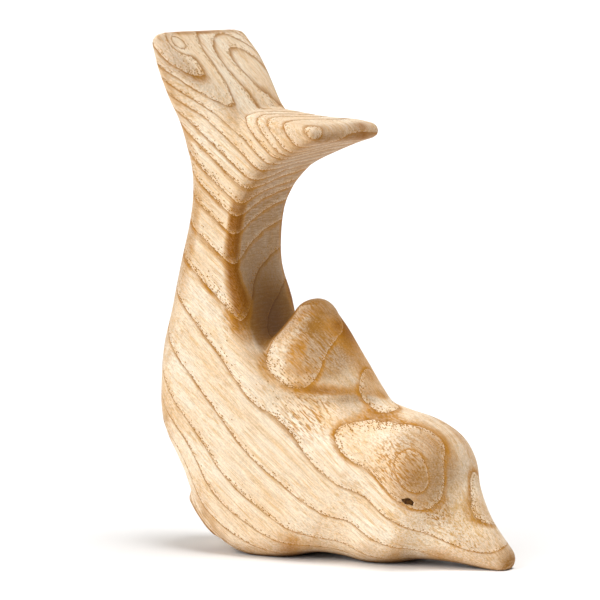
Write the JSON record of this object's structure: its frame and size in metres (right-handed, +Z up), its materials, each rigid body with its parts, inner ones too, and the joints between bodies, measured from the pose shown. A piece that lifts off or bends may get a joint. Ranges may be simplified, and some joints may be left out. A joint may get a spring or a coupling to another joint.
{
  "type": "wooden dolphin sculpture",
  "caption": "Carved wooden dolphin ornament in a diving pose, standing on belly, chin and beak with its forked tail raised.",
  "frame": {"origin": "on the table under the middle of the figure's bounding box", "axes": "+X towards the beak, +Z up from the table, +Y to the figure's left; the cheek with the knot faces -Y"},
  "size_m": [0.1104, 0.0486, 0.1501],
  "materials": {
    "ash": "sanded and oiled, satin",
    "knot": "dark pin knot, sanded flush"
  },
  "bodies": {
    "root": {"carved_block": "ash", "cheek_knot": "knot"}
  },
  "joints": []
}
